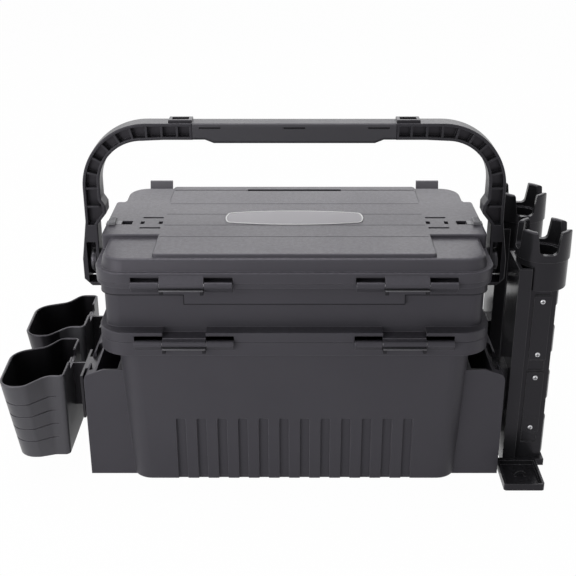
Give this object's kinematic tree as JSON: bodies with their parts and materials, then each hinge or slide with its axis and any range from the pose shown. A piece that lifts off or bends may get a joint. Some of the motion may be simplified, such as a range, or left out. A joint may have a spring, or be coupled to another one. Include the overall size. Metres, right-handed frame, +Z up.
{
  "type": "tackle box",
  "caption": "Two-layer fishing tackle box with hinged lid and tray, folding carry handle, latches, lift-off tool holders and rod stands with notched collars.",
  "frame": {"origin": "centre of the lower box's underside, on the floor", "axes": "+X along the box from the tool holders to the rod stands, -Y is the hinge side, +Y the latch side, +Z up"},
  "size_m": [0.5794, 0.259, 0.3614],
  "materials": {
    "case_plastic": "fine grained charcoal moulding",
    "handle_plastic": "satin black moulding",
    "holder_plastic": "satin charcoal moulding",
    "stand_plastic": "semi-gloss black moulding",
    "plaque_plastic": "smooth light grey",
    "pin_steel": "bright drawn wire"
  },
  "bodies": {
    "box": {"lower_box": "case_plastic", "tray_hinge_pins": "pin_steel", "tray_latch_pins": "pin_steel"},
    "tray": {"upper_tray": "case_plastic", "tray_dividers": "case_plastic", "lid_hinge_pins": "pin_steel", "lid_latch_pins": "pin_steel"},
    "lid": {"top_lid": "case_plastic", "lid_plaque": "plaque_plastic", "handle_pivot_pins": "handle_plastic"},
    "handle": {"handle_arm_left": "handle_plastic", "handle_arm_right": "handle_plastic", "handle_grip": "handle_plastic"},
    "stop_left": {"handle_stop_left": "case_plastic"},
    "stop_right": {"handle_stop_right": "case_plastic"},
    "lid_latch_left": {"lid_latch_left": "case_plastic"},
    "lid_latch_right": {"lid_latch_right": "case_plastic"},
    "tray_latch_left": {"tray_latch_left": "case_plastic"},
    "tray_latch_right": {"tray_latch_right": "case_plastic"},
    "holder_near": {"tool_holder_near": "holder_plastic", "holder_rail_near": "holder_plastic"},
    "holder_far": {"tool_holder_far": "holder_plastic", "holder_rail_far": "holder_plastic"},
    "rod_stand_near": {"rod_bracket_near": "stand_plastic", "rod_tube_near": "stand_plastic", "rod_collar_near": "stand_plastic", "rod_foot_near": "stand_plastic"},
    "rod_stand_far": {"rod_bracket_far": "stand_plastic", "rod_tube_far": "stand_plastic", "rod_collar_far": "stand_plastic", "rod_foot_far": "stand_plastic"}
  },
  "joints": [
    {"name": "tray_hinge", "type": "hinge", "parent": "box", "child": "tray", "pos_m": [0, -0.1216, 0.1653], "axis": [1, 0, 0], "range_deg": [0, 95]},
    {"name": "lid_hinge", "type": "hinge", "parent": "tray", "child": "lid", "pos_m": [0, -0.1216, 0.22815], "axis": [1, 0, 0], "range_deg": [0, 100]},
    {"name": "handle_fold", "type": "hinge", "parent": "lid", "child": "handle", "pos_m": [0, 0, 0.2075], "axis": [-1, 0, 0], "range_deg": [-90, 60]},
    {"name": "stop_slide_left", "type": "slide", "parent": "lid", "child": "stop_left", "axis": [-1, 0, 0], "range_m": [-0.01, 0.0065]},
    {"name": "stop_slide_right", "type": "slide", "parent": "lid", "child": "stop_right", "axis": [1, 0, 0], "range_m": [-0.01, 0.0065]},
    {"name": "lid_latch_swing_left", "type": "hinge", "parent": "tray", "child": "lid_latch_left", "pos_m": [-0.155, 0.1222, 0.216], "axis": [-1, 0, 0], "range_deg": [0, 75]},
    {"name": "lid_latch_swing_right", "type": "hinge", "parent": "tray", "child": "lid_latch_right", "pos_m": [0.155, 0.1222, 0.216], "axis": [-1, 0, 0], "range_deg": [0, 75]},
    {"name": "tray_latch_swing_left", "type": "hinge", "parent": "box", "child": "tray_latch_left", "pos_m": [-0.155, 0.1222, 0.15245], "axis": [-1, 0, 0], "range_deg": [0, 75]},
    {"name": "tray_latch_swing_right", "type": "hinge", "parent": "box", "child": "tray_latch_right", "pos_m": [0.155, 0.1222, 0.15245], "axis": [-1, 0, 0], "range_deg": [0, 75]},
    {"name": "holder_lift_near", "type": "slide", "parent": "box", "child": "holder_near", "axis": [0, 0, 1], "range_m": [0, 0.07]},
    {"name": "holder_lift_far", "type": "slide", "parent": "box", "child": "holder_far", "axis": [0, 0, 1], "range_m": [0, 0.07]},
    {"name": "rod_stand_lift_near", "type": "slide", "parent": "box", "child": "rod_stand_near", "axis": [0, 0, 1], "range_m": [0, 0.07]},
    {"name": "rod_stand_lift_far", "type": "slide", "parent": "box", "child": "rod_stand_far", "axis": [0, 0, 1], "range_m": [0, 0.07]}
  ]
}
